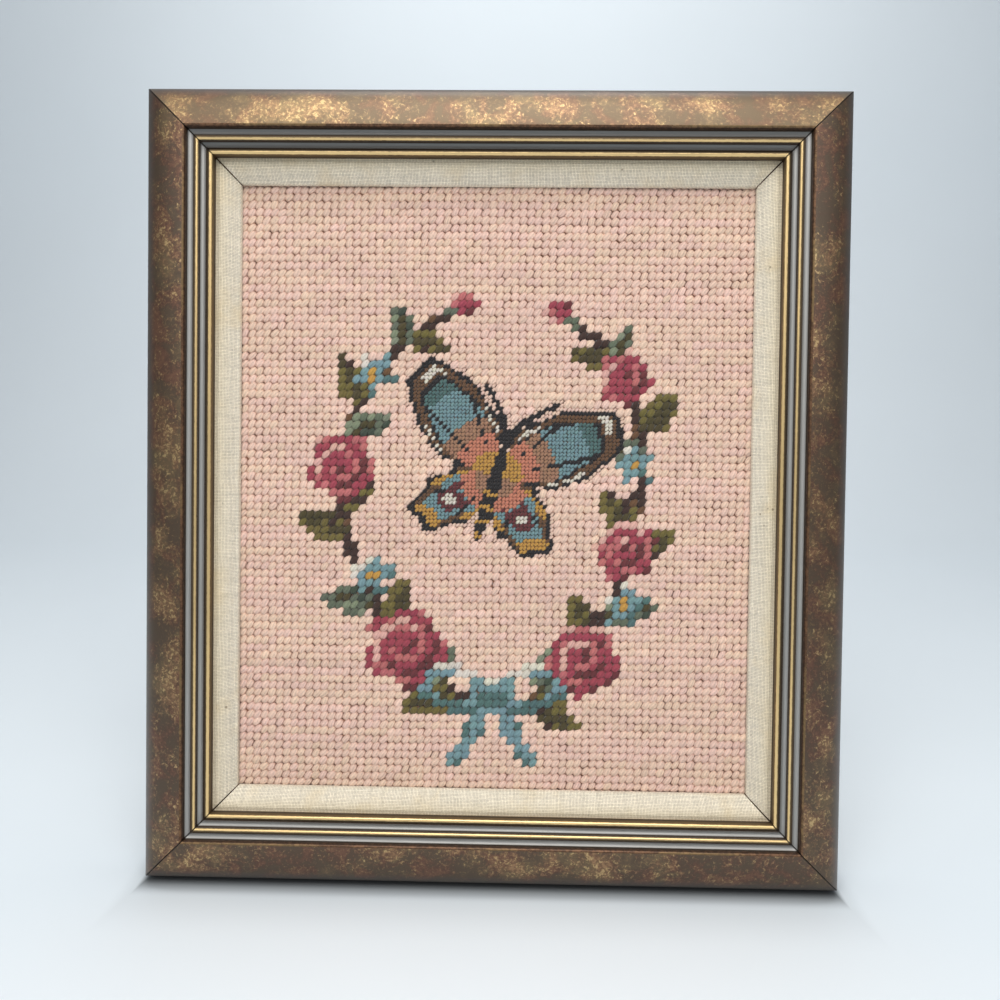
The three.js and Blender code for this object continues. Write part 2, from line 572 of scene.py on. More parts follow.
def gilt_finish():
    """Gilt beads, darkened along their flanks by soil and painted shade, and nicked here and
    there.
    """
    look = settings("moulding")
    finish = Finish("gilt_bead")
    chart = finish.chart(1 / MM)
    along, across, _ = finish.split(chart)
    inward = finish.attribute("inward")
    outer = (inward - OUTER_BEAD["centre"]) / OUTER_BEAD["radius"]
    inner = (inward - INNER_BEAD["centre"]) / INNER_BEAD["radius"]
    on_outer = 1 - inward.above(INNER_COVE["start"] - 0.05, INNER_COVE["start"] + 0.35)
    off_crest = inner + on_outer * (outer - inner)
    specks = finish.streaks(along * 0.7, across * 2.0, detail=4.0, roughness=0.65)
    nicks = finish.noise(chart, 0.5, 4.0, 0.75).above(0.68, 0.73)
    # the flanks are darkened with umber: soil and painted shade together
    outer_flank_soil_and_shade = (0.2 * on_outer - off_crest + 0.5 * (specks - 0.5)).above(-0.1, 0.3)
    inner_flank_soil_and_shade = (off_crest + 0.3 * (specks - 0.5)).above(0.76, 1.0)
    soil = outer_flank_soil_and_shade.most(inner_flank_soil_and_shade).most(nicks * 0.7)
    tone = finish.noise(chart, 0.06, 2.0, 0.5)
    colour = finish.lit(look.gilt, 0.84 + 0.3 * tone)
    return finish.set(
        base_color=finish.lit(finish.mix(soil * 0.92, colour, look.umber), finish.off_mitre(0.4)),
        metallic=0.66 - 0.4 * soil,
        roughness=0.32 + 0.25 * soil,
        normal=finish.bump(specks, 0.03 * MM, 0.4),
    )


def sight_finish():
    """The inner side of the moulding: gold under a brown wash, with painted shade that deepens
    towards the liner.
    """
    look = settings("moulding")
    finish = Finish("sight_wash")
    chart = finish.chart(1 / MM)
    along, across, _ = finish.split(chart)
    forward = finish.attribute("forward")
    streaks = finish.streaks(along * 0.2, across * 3.0)
    # painted shade, deepening towards the liner, over the brown wash
    wash = (1 - (forward + 0.5 * streaks).above(13.6, 16.4)).clipped()
    colour = finish.mix(0.82 + 0.18 * wash, look.gilt, look.umber)
    return finish.set(
        base_color=colour,
        metallic=0.7 - 0.4 * wash,
        roughness=0.42 + 0.2 * streaks,
        normal=finish.bump(streaks, 0.03 * MM, 0.4),
    )


def wood_finish(name, dark):
    """Bare wood with grain along the piece. dark is how far it is soiled."""
    look = settings("moulding")
    finish = Finish(name)
    along, across, _ = finish.split(finish.chart(1 / MM))
    bend = finish.streaks(along * 0.012, across * 0.05, detail=2.0, roughness=0.5)
    rings = finish.streaks(along * 0.006, across * 0.9 + bend * 5.0)
    pores = finish.streaks(along * 0.35, across * 6.0)
    soil = finish.noise(finish.chart(1 / MM), 0.05, 3.0, 0.6)
    tone = 0.66 + 0.42 * rings.above(0.32, 0.62) + 0.12 * pores - 0.3 * soil
    colour = finish.lit(look.raw_wood, tone * (1 - dark))
    return finish.set(
        base_color=colour,
        roughness=0.72 + 0.15 * pores,
        normal=finish.bump(pores * 0.5 + rings * 0.5, 0.1 * MM, 0.5),
    )


def linen_finish():
    """Plain-woven linen with uneven threads, slubs, faint stains and a few specks."""
    look = settings("liner")
    finish = Finish("linen")
    threads = 1 / look.thread_pitch
    chart = finish.chart()
    along, across, _ = finish.split(chart)
    warp = along * threads + 1.4 * finish.noise(chart, 70.0, 3.0, 0.5)
    weft = across * threads + 1.4 * finish.noise(finish.chart(1.0, 3.0), 80.0, 3.0, 0.5)
    height = finish.weave(warp, weft)
    warp_tone = finish.lottery(finish.vector(warp.floor(), (weft * 0.04).floor()))
    weft_tone = finish.lottery(finish.vector((warp * 0.04).floor(), weft.floor(), 9.0))
    knot_tone = finish.lottery(finish.vector(warp.floor(), weft.floor(), 4.0))
    threads_tone = warp_tone * 0.4 + weft_tone * 0.4 + knot_tone * 0.5
    slubs = finish.streaks(warp * 0.05, weft * 0.8, detail=2.0)
    slubs = slubs.most(finish.streaks(warp * 0.8, weft * 0.05, detail=2.0))
    stains = finish.noise(finish.place(), 45.0, 4.0, 0.6).above(0.5, 0.72)
    specks = 1 - finish.specks(finish.place(), 240.0).above(0.06, 0.14)
    rare = finish.noise(finish.place(), 110.0, 1.0).above(0.58, 0.64)

    fibres = finish.noise(finish.place(1 / MM), 1.5, 3.0, 0.7)
    worn = 1 - finish.attribute("inward").above(22.5, 27.5)
    colour = finish.mix(height.above(0.1, 0.8), look.shade, look.linen)
    colour = finish.lit(colour, 0.58 + 0.34 * threads_tone + 0.2 * (slubs - 0.5) + 0.5 * fibres)
    colour = finish.mix(worn * 0.3, colour, look.stain)
    colour = finish.mix(stains * 0.35, colour, look.stain)
    colour = finish.mix(specks * rare * 0.7, colour, look.shade)
    finish.shader.inputs["Sheen Weight"].default_value = 0.15
    return finish.set(
        base_color=colour,
        roughness=0.86,
        normal=finish.bump(height + 0.5 * slubs, 0.12 * MM, 0.8),
    )


def canvas_finish():
    """Double-thread canvas, mostly hidden under the wool: brown, with painted shade between its
    threads that darkens the gaps between stitches.
    """
    look = settings("needlework")
    finish = Finish("double_canvas")
    half_pitch = look.pitch / 2
    x, _, z = finish.split(finish.place())
    warp = x / half_pitch
    weft = (z - MIDDLE_Z) / half_pitch
    height = finish.weave(warp, weft)
    wear = finish.noise(finish.place(), 900.0, 3.0, 0.6)
    # painted shade: darkest between the threads
    tone = 0.25 + 0.6 * height.above(0.2, 0.9) + 0.3 * wear
    return finish.set(
        base_color=finish.lit(look.canvas, tone),
        roughness=0.9,
        normal=finish.bump(height, 0.25 * MM),
    )


def board_finish():
    """Pressed fibreboard with the mesh mark of its press."""
    look = settings("needlework")
    finish = Finish("fibreboard")
    x, _, z = finish.split(finish.place(1 / MM))
    fibres = finish.noise(finish.place(1 / MM), 1.3, 4.0, 0.7, 0.5)
    mesh_mark = finish.weave(x * 0.7, z * 0.7)
    clouds = finish.noise(finish.place(1 / MM), 0.03, 3.0, 0.6)
    tone = 0.7 + 0.35 * fibres + 0.12 * mesh_mark + 0.25 * (clouds - 0.5)
    return finish.set(
        base_color=finish.lit(look.board, tone),
        roughness=0.75 + 0.1 * fibres,
        normal=finish.bump(mesh_mark * 0.6 + fibres * 0.4, 0.12 * MM, 0.7),
    )


def yarn_finish(name):
    """Wool yarn: plies that wind round each stitch with painted shade between them, fluff, a tone
    for each stitch, and painted shade low down.
    """
    finish = Finish(f"wool_{name}")
    base = getattr(settings("yarns"), name)
    around, along, _ = finish.split(finish.chart())
    tint = finish.attribute("tint")
    warmth = finish.attribute("warmth")
    lift = finish.attribute("lift")
    # strands also darkens the tone in the grooves between plies: painted shade
    strands = ((around * 7.0 + along * 0.9) * (2 * math.pi)).sin() * 0.5 + 0.5
    fluff = finish.noise(finish.place(1 / MM), 2.2, 3.0, 0.7)
    hairs = finish.streaks(around * 26.0, along * 4.0, tint * 40.0)
    warmer = [value * share for value, share in zip(base, (1.0, 1.0, 0.91))]
    pinker = [value * share for value, share in zip(base, (1.0, 0.94, 0.96))]
    colour = finish.mix(warmth.clipped(), pinker, warmer)
    # painted shade: browner and darker where a stitch sinks towards the canvas between its
    # neighbours
    deep = [value * share for value, share in zip(base, (0.55, 0.34, 0.26))]
    painted_shade_share = 1 - lift.above(0.35, 0.9)
    colour = finish.mix(painted_shade_share * 0.66, colour, deep)
    tone = tint * (0.36 + 0.2 * strands + 0.44 * hairs + 0.62 * fluff)
    finish.shader.inputs["Sheen Weight"].default_value = 0.25
    finish.shader.inputs["Sheen Roughness"].default_value = 0.5
    return finish.set(
        base_color=finish.lit(colour, tone),
        roughness=0.85,
        normal=finish.bump(strands * 0.5 + hairs * 0.4 + fluff * 0.5, 0.24 * MM, 0.9),
    )


def floor_finish():
    """Pale matt card, with a painted contact shadow close to where the picture stands."""
    look = settings("stage")
    finish = Finish("pale_floor")
    grain = finish.noise(finish.place(), 6.0, 2.0, 0.5)
    x, y, _ = finish.split(finish.place(1 / MM))
    foot_front = BACK / MM - SIDE_HEIGHT
    off_side = (abs(x) - WIDTH / 2 / MM) * 4.0
    off_foot = off_side.most(foot_front - y).most((y - BACK / MM) * 3.0)
    # painted contact shadow: darkest at the picture's foot, fading out in front of it, beside it
    # and behind it
    shade = 0.2 + 0.7 * off_foot.above(-1.0, 9.0) + 0.1 * off_foot.above(5.0, 30.0)
    tone = (0.98 + 0.04 * grain) * shade
    return finish.set(base_color=finish.lit(look.floor, tone), roughness=0.8)


# ---------------------------------------------------------------------------------------------
# Modelling


def deselect_all():
    """Leaves nothing selected, and no piece being edited."""
    if bpy.context.object and bpy.context.object.mode != "OBJECT":
        bpy.ops.object.mode_set(mode="OBJECT")
    bpy.ops.object.select_all(action="DESELECT")


def start(piece):
    """Makes a piece the only selected object, and the active one."""
    deselect_all()
    piece.select_set(True)
    bpy.context.view_layer.objects.active = piece


def edit(piece):
    """Starts editing a piece, with all of it selected."""
    start(piece)
    bpy.ops.object.mode_set(mode="EDIT")
    bpy.ops.mesh.select_mode(type="VERT")
    bpy.ops.mesh.select_all(action="SELECT")


def stop_editing():
    bpy.ops.object.mode_set(mode="OBJECT")


def read(items, key, width=1, kind=np.float32):
    """One property of all items of a mesh, in one row. Each item has width numbers."""
    values = np.empty(width * len(items), kind)
    items.foreach_get(key, values)
    return values


def points_of(piece):
    """The places of a mesh's vertices, as rows."""
    return read(piece.data.vertices, "co", 3).reshape(-1, 3).astype(float)


def put_points(piece, places):
    piece.data.vertices.foreach_set("co", places.astype(np.float32).ravel())
    piece.data.update()


def select_where(piece, rule):
    """Selects the vertices whose places pass a rule, and goes on editing."""
    stop_editing()
    mesh = piece.data
    chosen = rule(points_of(piece))
    ends = read(mesh.edges, "vertices", 2, np.int32).reshape(-1, 2)
    mesh.vertices.foreach_set("select", chosen)
    mesh.edges.foreach_set("select", chosen[ends].all(1))
    mesh.polygons.foreach_set("select", [all(chosen[list(p.vertices)]) for p in mesh.polygons])
    bpy.ops.object.mode_set(mode="EDIT")


def add_attribute(mesh, name, values):
    """Gives every vertex of a mesh a number."""
    layer = mesh.attributes.new(name, "FLOAT", "POINT")
    layer.data.foreach_set("value", np.asarray(values, np.float32))


def read_attribute(mesh, name):
    return read(mesh.attributes[name].data, "value").astype(float)


def section_place(u, h):
    """A point of the bottom member's section, in the picture's frame."""
    return Vector((0.0, BACK - h * MM, LOW.z + u * MM))


class Pen:
    """Draws a section in edit mode by pulling one vertex out of the last."""

    def __init__(self, name, u, h):
        deselect_all()
        bpy.ops.mesh.primitive_plane_add(size=MM, location=section_place(u, h))
        self.outline = bpy.context.object
        self.outline.name = name
        bpy.ops.object.transform_apply(location=True, rotation=True, scale=True)
        edit(self.outline)
        bpy.ops.mesh.merge(type="CENTER")
        self.first = self.at = (u, h)

    def line(self, u, h):
        move = section_place(u, h) - section_place(*self.at)
        bpy.ops.mesh.extrude_region_move(TRANSFORM_OT_translate={"value": move})
        self.at = (u, h)

    def curve(self, pull, end, steps):
        """A curve that sets out towards the point pull and ends at end."""
        begin, pull, end = (np.array(point) for point in (self.at, pull, end))
        for i in range(1, steps + 1):
            t = i / steps
            self.line(*((1 - t) ** 2 * begin + 2 * t * (1 - t) * pull + t**2 * end))

    def arc(self, centre, end, angle, steps):
        """Spins the last vertex about a centre."""
        bpy.ops.mesh.spin(
            steps=steps, angle=angle, center=section_place(*centre), axis=(1.0, 0.0, 0.0)
        )
        self.at = end

    def cove(self, start, end, height, sag):
        """A hollow from start to end, sag deep."""
        half = (end - start) / 2
        radius = (half**2 + sag**2) / (2 * sag)
        turn = 2 * math.asin(half / radius)
        self.line(start, height)
        self.arc((start + half, height - sag + radius), (end, height), -turn, 12)

    def bead(self, centre, height, radius):
        """A half-round bead, whose foot is at height."""
        self.line(centre - radius, height)
        self.arc((centre, height), (centre + radius, height), math.pi, 14)

    def close(self):
        """Notes each point's place in the section, closes the outline and fills it."""
        stop_editing()
        places = points_of(self.outline)
        steps = np.linalg.norm(np.diff(places, axis=0), axis=1)
        mesh = self.outline.data
        add_attribute(mesh, "across", np.concatenate([[0.0], np.cumsum(steps)]))
        add_attribute(mesh, "inward", (places[:, 2] - LOW.z) / MM)
        add_attribute(mesh, "forward", (BACK - places[:, 1]) / MM)
        bpy.ops.object.mode_set(mode="EDIT")
        self.line(*self.first)
        bpy.ops.mesh.select_all(action="SELECT")
        bpy.ops.mesh.remove_doubles(threshold=0.001 * MM)
        bpy.ops.mesh.edge_face_add()
        stop_editing()
        return self.outline


def draw_moulding():
    """The section of the moulding, from the back of its outer side round to the rabbet."""
    pen = Pen("moulding_section", ARRIS, 0.0)
    pen.line(0.0, ARRIS)
    pen.line(0.0, SIDE_HEIGHT)
    pen.curve((0.0, BAND_PULL), CREST, 24)
    pen.curve(LIP_PULL, STEP_FOOT, 8)
    pen.cove(**OUTER_COVE)
    pen.bead(**OUTER_BEAD)
    pen.cove(**INNER_COVE)
    pen.bead(**INNER_BEAD)
    pen.line(SIGHT_U, LIP_UNDERSIDE)
    pen.line(RABBET_U, LIP_UNDERSIDE)
    pen.line(RABBET_U, 0.0)
    return pen.close()


def draw_liner():
    """The section of the liner, from the back of its outer side round to the nose."""
    pen = Pen("liner_section", PACK_INSET, LINER_BACK)
    pen.line(PACK_INSET, LINER_TOP)
    pen.line(LINER_SHOULDER, LINER_TOP)
    pen.curve((LINER_SLOPE_PULL, LINER_TOP), LINER_SLOPE_END, 14)
    pen.curve((LINER_NOSE[0], LINER_NOSE_PULL), LINER_NOSE, 8)
    pen.line(LINER_NOSE[0], LINER_BACK)
    return pen.close()


def cut_member(outline, name, place, gap, inwards=0.0, backwards=0.0):
    """Pulls a section out to a member and cuts both its mitres, leaving half the joint's gap.

    The gap is the one at the outside of the front. The two slopes close it inwards and backwards.
    """
    length, reach = (PLACES[place][key] for key in ("length", "reach"))
    piece = outline.copy()
    piece.data = outline.data.copy()
    piece.name = name
    bpy.context.collection.objects.link(piece)
    edit(piece)
    bpy.ops.transform.translate(value=(-length / 2, 0.0, HEIGHT / 2 - reach))
    bpy.ops.mesh.extrude_region_move(TRANSFORM_OT_translate={"value": (length, 0.0, 0.0)})
    for side in (1, -1):
        bpy.ops.mesh.select_all(action="SELECT")
        bpy.ops.mesh.bisect(
            plane_co=(side * (length / 2 - gap / math.sqrt(2)), LOW.y, MIDDLE_Z - reach),
            plane_no=(side * (1 + inwards), -backwards, 1 - inwards),
            use_fill=True,
            clear_outer=True,
        )
    bpy.ops.mesh.select_all(action="SELECT")
    bpy.ops.mesh.normals_make_consistent(inside=False)
    stop_editing()
    return piece


def turn_member(piece, place):
    """Turns a member from the bottom of the frame to its own place."""
    edit(piece)
    turn = PLACES[place]["turn"]
    bpy.ops.transform.rotate(value=turn, orient_axis="Y", center_override=(0, 0, MIDDLE_Z))
    stop_editing()


def map_member(piece, place):
    """The piece's map runs along the member and across its section, in metres.

    Two attributes hold the distance from the mitre at either end, in millimetres.
    """
    mesh = piece.data
    along = points_of(piece)[:, 0]
    across = read_attribute(mesh, "across")
    inward = read_attribute(mesh, "inward")
    half = PLACES[place]["length"] / 2
    add_attribute(mesh, "to_one_mitre", (half - along) / MM - inward)
    add_attribute(mesh, "to_other_mitre", (half + along) / MM - inward)
    spots = np.stack([along, across], 1)[read(mesh.loops, "vertex_index", kind=np.int32)]
    mesh.uv_layers.active.uv.foreach_set("vector", spots.astype(np.float32).ravel())


def smooth(piece, degrees):
    """Shades a piece smooth, apart from edges sharper than an angle."""
    start(piece)
    bpy.ops.object.shade_smooth_by_angle(angle=math.radians(degrees))


def wear_finishes(piece, finishes, pick):
    """Gives a piece its finishes, each face the one that pick names for it."""
    names = list(finishes)
    mesh = piece.data
    mesh.materials.clear()
    for name in names:
        mesh.materials.append(finishes[name].material)
    inward = read_attribute(mesh, "inward")
    forward = read_attribute(mesh, "forward")
    for face in mesh.polygons:
        corners = list(face.vertices)
        name = pick(inward[corners].mean(), forward[corners].mean(), face.normal)
        face.material_index = names.index(name)


def moulding_zone(u, h, normal):
    """Which finish a face of the moulding has."""
    if abs(normal.x) > 0.3:
        return "mitre"
    if u > RABBET_U - 0.1 and h < LIP_UNDERSIDE + 0.1 or h < ARRIS:
        return "wood"
    if h < SIDE_HEIGHT:
        return "side"
    if u < CREST[0]:
        return "band"
    if u < OUTER_COVE["start"]:
        return "lip"
    for bead in (OUTER_BEAD, INNER_BEAD):
        if abs(u - bead["centre"]) < bead["radius"] - 0.001:
            return "bead"
    return "cove" if u < SIGHT_U - 0.001 else "sight"


def liner_zone(_, h, normal):
    """Which finish a face of the liner has: linen goes over its front and outer side."""
    return "wood" if h < LINER_BACK + 0.1 or abs(normal.x) > 0.3 else "linen"


def settle(piece, slot, *nodes):
    """Says what a finished piece moves with and stands for. Its slot, what it is made of, is not
    used.
    """
    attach(piece, BODY)
    if nodes:
        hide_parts(*nodes)


# ---------------------------------------------------------------------------------------------
# The frame


class PICTURE_OT_add_moulding(bpy.types.Operator):
    """Add the four mitred rails of the frame"""

    bl_idname = "picture.add_moulding"
    bl_label = "Add Moulding"

    def execute(self, context):
        look = settings("moulding")
        outline = draw_moulding()
        shared = {
            "side": side_finish(),
            "lip": lip_finish(),
            "bead": gilt_finish(),
            "sight": sight_finish(),
            "wood": wood_finish("raw_wood", 0.0),
            "mitre": wood_finish("mitre_wood", 0.75),
        }
        for place in PLACES:
            rail = cut_member(
                outline, f"moulding_{place}", place, gap=look.mitre_gap, **RAIL_MITRE
            )
            own = {"band": bronze_finish(place), "cove": cove_finish(place)}
            wear_finishes(rail, {**own, **shared}, moulding_zone)
            map_member(rail, place)
            turn_member(rail, place)
            smooth(rail, 40)
            settle(rail, "moulding", f"frame_rail_{place}")
        bpy.data.objects.remove(outline)
        return {"FINISHED"}


class PICTURE_OT_add_liner(bpy.types.Operator):
    """Add the four linen-covered liner strips"""

    bl_idname = "picture.add_liner"
    bl_label = "Add Liner"

    def execute(self, context):
        outline = draw_liner()
        finishes = {"linen": linen_finish(), "wood": wood_finish("liner_wood", 0.25)}
        for place in PLACES:
            strip = cut_member(outline, f"linen_liner_{place}", place, **LINER_MITRE)
            wear_finishes(strip, finishes, liner_zone)
            map_member(strip, place)
            turn_member(strip, place)
            smooth(strip, 50)
            settle(strip, "linen", f"liner_{place}")
        bpy.data.objects.remove(outline)
        return {"FINISHED"}


# ---------------------------------------------------------------------------------------------
# Canvas and board


def swell(x, z):
    """How far the stretched cloth stands proud, in millimetres. x and z are from its middle."""
    a = np.clip(x / HALF_OPENING_X, -1, 1)
    b = np.clip(z / HALF_OPENING_Z, -1, 1)
    fade = (1 - a**2) * (1 - b**2)
    waves = np.sin(2.1 * a + 0.6) * np.cos(2.6 * b - 0.4) + 0.5 * np.sin(4.3 * b + a)
    return CLOTH_RISE * fade * waves


def add_panel(name, node, front, columns, rows):
    """A flat grid as wide and high as a CAD node, standing at front above the frame's back."""
    low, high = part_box(node)
    middle = (low + high) / 2
    deselect_all()
    bpy.ops.mesh.primitive_grid_add(
        x_subdivisions=columns,
        y_subdivisions=rows,
        size=1.0,
        location=(middle.x, BACK - front, middle.z),
        rotation=(math.pi / 2, 0.0, 0.0),
    )
    panel = bpy.context.object
    panel.name = name
    panel.scale = (high.x - low.x, high.z - low.z, 1.0)
    bpy.ops.object.transform_apply(location=True, rotation=True, scale=True)
    return panel


def finish_with(piece, name, kind, **choices):
    """Puts a modifier on a piece and applies it."""
    start(piece)
    modifier = piece.modifiers.new(name, kind)
    for key, choice in choices.items():
        setattr(modifier, key, choice)
    bpy.ops.object.modifier_apply(modifier=name)


def thicken(panel, thickness):
    """Gives a panel its thickness, away from its face."""
    finish_with(panel, "Thickness", "SOLIDIFY", thickness=thickness, offset=-1.0)


class PICTURE_OT_add_canvas(bpy.types.Operator):
    """Add the stretched canvas that the wool is worked on"""

    bl_idname = "picture.add_canvas"
    bl_label = "Add Canvas"

    def execute(self, context):
        look = settings("needlework")
        canvas = add_panel(
            "needlepoint_cloth", "needlepoint_canvas", look.canvas_front, look.columns, look.rows
        )
        places = points_of(canvas)
        places[:, 1] -= swell(places[:, 0] / MM, (places[:, 2] - MIDDLE_Z) / MM) * MM
        put_points(canvas, places)
        thicken(canvas, look.canvas_thickness)
        canvas.data.materials.append(canvas_finish().material)
        smooth(canvas, 40)
        settle(canvas, "wool_on_canvas", "needlepoint_canvas")
        return {"FINISHED"}


class PICTURE_OT_add_board(bpy.types.Operator):
    """Add the board that the canvas is mounted on"""

    bl_idname = "picture.add_board"
    bl_label = "Add Board"

    def execute(self, context):
        board = add_panel("fibreboard_panel", "mounting_board", BOARD_FRONT * MM, 8, 9)
        thicken(board, (BOARD_FRONT - BOARD_BACK) * MM)
        eased = {"width": BOARD_BEVEL * MM, "segments": 2, "limit_method": "ANGLE"}
        finish_with(board, "Eased edges", "BEVEL", **eased)
        board.data.materials.append(board_finish().material)
        smooth(board, 40)
        settle(board, "board", "mounting_board")
        return {"FINISHED"}


# ---------------------------------------------------------------------------------------------
# The chart: which yarn each stitch has. Places are in stitches from the middle of the cloth.

ROSE_TONES = ("wine", "rose", "rose", "blush", "petal")
OLIVE_TONES = ("bark", "moss", "olive", "olive")
SAGE_TONES = ("pine", "sage", "sage", "eucalyptus")
SKY_TONES = ("teal", "sky", "sky", "cream")
FORE_WING_TONES = ("honey", "salmon", "tan", "sky", "sky", "teal")

GARLAND = {"half_width": 19.5, "half_height": 27, "middle_z": -1, "sweep": math.radians(158)}
KNOT_Z = -28.0
BUTTERFLY = {"at": (0, 2), "turn": -0.28, "scale": 1.28}


class Chart:
    """A squared chart. A shape is a function that gives a yarn, or nothing, for a place."""

    def __init__(self, columns, rows):
        self.columns = columns
        self.rows = rows
        self.yarns = {}

    def lay(self, shape, *facts, at=(0, 0), turn=0.0, scale=1.0):
        """Works every stitch for which shape gives a yarn, over what is there.

        The shape is told each stitch's place in its own frame, and the facts it was given.
        """
        c, s = math.cos(turn), math.sin(turn)
        for column in range(self.columns):
            for row in range(self.rows):
                x = (column - (self.columns - 1) / 2 - at[0]) / scale
                z = (row - (self.rows - 1) / 2 - at[1]) / scale
                yarn = shape(x * c + z * s, z * c - x * s, *facts)
                if yarn:
                    self.yarns[column, row] = yarn


def shade(value, tones):
    """One of the tones, from darkest to lightest, for a value from 0 to 1."""
    return tones[min(len(tones) - 1, max(0, int(value * len(tones))))]


def leaf(along, across, length, width, tones):
    """A pointed leaf from its stalk end, dark below a ribbed vein and light above it."""
    t = along / length
    if not 0 <= t <= 1 or abs(across) > width / 2 * math.sin(math.pi * t**0.75) ** 0.8 + 0.15:
        return None
    if abs(across) < 0.42 and 0.05 < t < 0.82:
        return "moss"
    rib = 0.22 * math.cos(2.2 * (along - 1.2 * abs(across)))
    return shade((0.78 if across > 0 else 0.4) + rib, tones)


def rose(x, z, radius, twist):
    """A full-blown rose seen from the front, its petals wound in a spiral."""
    r, theta = math.hypot(x, z), math.atan2(z, x)
    if r > radius * (0.9 + 0.1 * math.cos(5 * theta + twist)):
        return None
    wind = math.cos(2 * math.pi * (r / (0.46 * radius)) - theta + twist)
    light = 0.5 + 0.22 * (z - x) / radius + 0.3 * wind - 0.25 * (r < 0.2 * radius)
    return shade(light, ROSE_TONES)


def blossom(x, z, radius, twist):
    """A small five-petalled flower with a yellow eye."""
    r, theta = math.hypot(x, z), math.atan2(z, x)
    if r < 0.27 * radius:
        return "honey"
    if r > radius * (0.72 + 0.28 * math.cos(5 * (theta - twist))):
        return None
    return shade(0.5 + 0.4 * (z - x) / radius, SKY_TONES)


def bud(along, across, size):
    """A closed bud on its calyx."""
    t = along / size
    if 0 <= t < 0.38 and abs(across) < 0.3 * size * (0.35 + t):
        return "sage"
    if 0.3 <= t <= 1 and abs(across) < 0.34 * size * math.sin(math.pi * (1.12 - t)) ** 0.6:
        return shade(0.55 + 0.5 * across / (0.34 * size), ROSE_TONES)
    return None


def stem(x, z, points, width, yarn, other):
    """A stem or ribbon through points, with touches of another yarn along its edges."""
    spot = np.array((x, z))
    nearest = width
    for a, b in zip(points[:-1], points[1:]):
        run = b - a
        t = np.clip(np.dot(spot - a, run) / np.dot(run, run), 0, 1)
        nearest = min(nearest, np.linalg.norm(spot - a - t * run))
    if nearest > width / 2:
        return None
    return other if nearest > width * 0.3 and (x * 0.7 + z) % 5 < 2 else yarn


def ribbon_loop(along, across):
    """One loop of the bow, open in its middle."""
    if not 0.5 <= math.hypot(along / 5.6, across / 3.2) <= 1:
        return None
    return shade(0.5 + 0.5 * across / 3.6, SKY_TONES)


def ribbon_knot(x, z):
    return "teal" if math.hypot(x, z * 1.1) < 1.7 else None


def garland_place(side, t):
    """A point on the garland, from its foot at t = 0 up one side to its tip at t = 1."""
    angle = -math.pi / 2 + side * t * GARLAND["sweep"]
    wobble = 1.1 * math.sin(9 * t + (0.8 if side > 0 else 2.2))
    x = (GARLAND["half_width"] + wobble) * math.cos(angle)
    z = GARLAND["middle_z"] + (GARLAND["half_height"] + wobble) * math.sin(angle)
    return x, z


def garland_heading(side, t):
    """The angle at which the garland climbs there."""
    x0, z0 = garland_place(side, t - 0.01)
    x1, z1 = garland_place(side, t + 0.01)
    return math.atan2(z1 - z0, x1 - x0)


# Leaves of the garland: share of the way up, side of the stem, length, width, tones
LEAVES = (
    (0.10, 1, 7.5, 4.0, OLIVE_TONES),
    (0.13, -1, 6.5, 3.6, SAGE_TONES),
    (0.30, -1, 7.0, 4.0, OLIVE_TONES),
    (0.36, 1, 7.0, 3.8, SAGE_TONES),
    (0.50, 1, 7.0, 4.0, OLIVE_TONES),
    (0.55, -1, 6.5, 3.6, OLIVE_TONES),
    (0.68, -1, 6.0, 3.4, SAGE_TONES),
    (0.74, 1, 7.0, 3.8, OLIVE_TONES),
    (0.88, 1, 5.5, 3.2, SAGE_TONES),
    (0.90, -1, 5.5, 3.0, OLIVE_TONES),
)
# Roses: side, share of the way up, radius, twist
ROSES = (
    (-1, 0.25, 5.8, 0.4),
    (1, 0.24, 5.2, 2.0),
    (1, 0.47, 4.4, 3.5),
    (-1, 0.62, 4.8, 1.2),
    (1, 0.79, 3.8, 0.4),
)
# Blossoms: side, share of the way up, how far right of the stem, twist
BLOSSOMS = (
    (-1, 0.42, 1.5, 0.3),
    (-1, 0.80, -0.5, 0.9),
    (1, 0.36, 2.0, 0.2),
    (1, 0.63, -1.0, 0.5),
)
LEAF_SPREAD = math.radians(52)
BLOSSOM_RADIUS = 3.1
BUD_LENGTH = 5.0
STEM_WIDTH = 1.35
RIBBON_WIDTH = 2.1


def chart_garland(chart):
    """Two stems that climb from a bow, with leaves, buds, roses and blossoms."""
    for side, reach in ((-1, 1.0), (1, 0.93)):
        run = np.array([garland_place(side, reach * i / 24) for i in range(25)])
        chart.lay(stem, run, STEM_WIDTH, "bark", "walnut")
        for t, out, *facts in LEAVES:
            turn = garland_heading(side, reach * t) - side * out * LEAF_SPREAD
            chart.lay(leaf, *facts, at=garland_place(side, reach * t), turn=turn)
        tip = garland_place(side, reach)
        chart.lay(bud, BUD_LENGTH, at=tip, turn=garland_heading(side, reach))
    chart_bow(chart)
    for side, t, *facts in ROSES:
        chart.lay(rose, *facts, at=garland_place(side, t))
    for side, t, right, twist in BLOSSOMS:
        x, z = garland_place(side, t)
        chart.lay(blossom, BLOSSOM_RADIUS, twist, at=(x + right, z))


def chart_bow(chart):
    """The ribbon at the foot of the garland."""
    for side in (-1, 1):
        tail = [(side * x, KNOT_Z - z) for x, z in ((0, 0), (2.4, 3), (2.6, 5), (5.2, 8))]
        chart.lay(stem, np.array(tail), RIBBON_WIDTH, "sky", "teal")
        chart.lay(ribbon_loop, at=(side * 5.2, KNOT_Z + 1.6), turn=side * math.radians(14))
    chart.lay(ribbon_knot, at=(0, KNOT_Z))


def bulge(value, middle, spread):
    """1 at middle, and falling away to both sides."""
    return math.exp(-(((value - middle) / spread) ** 2))


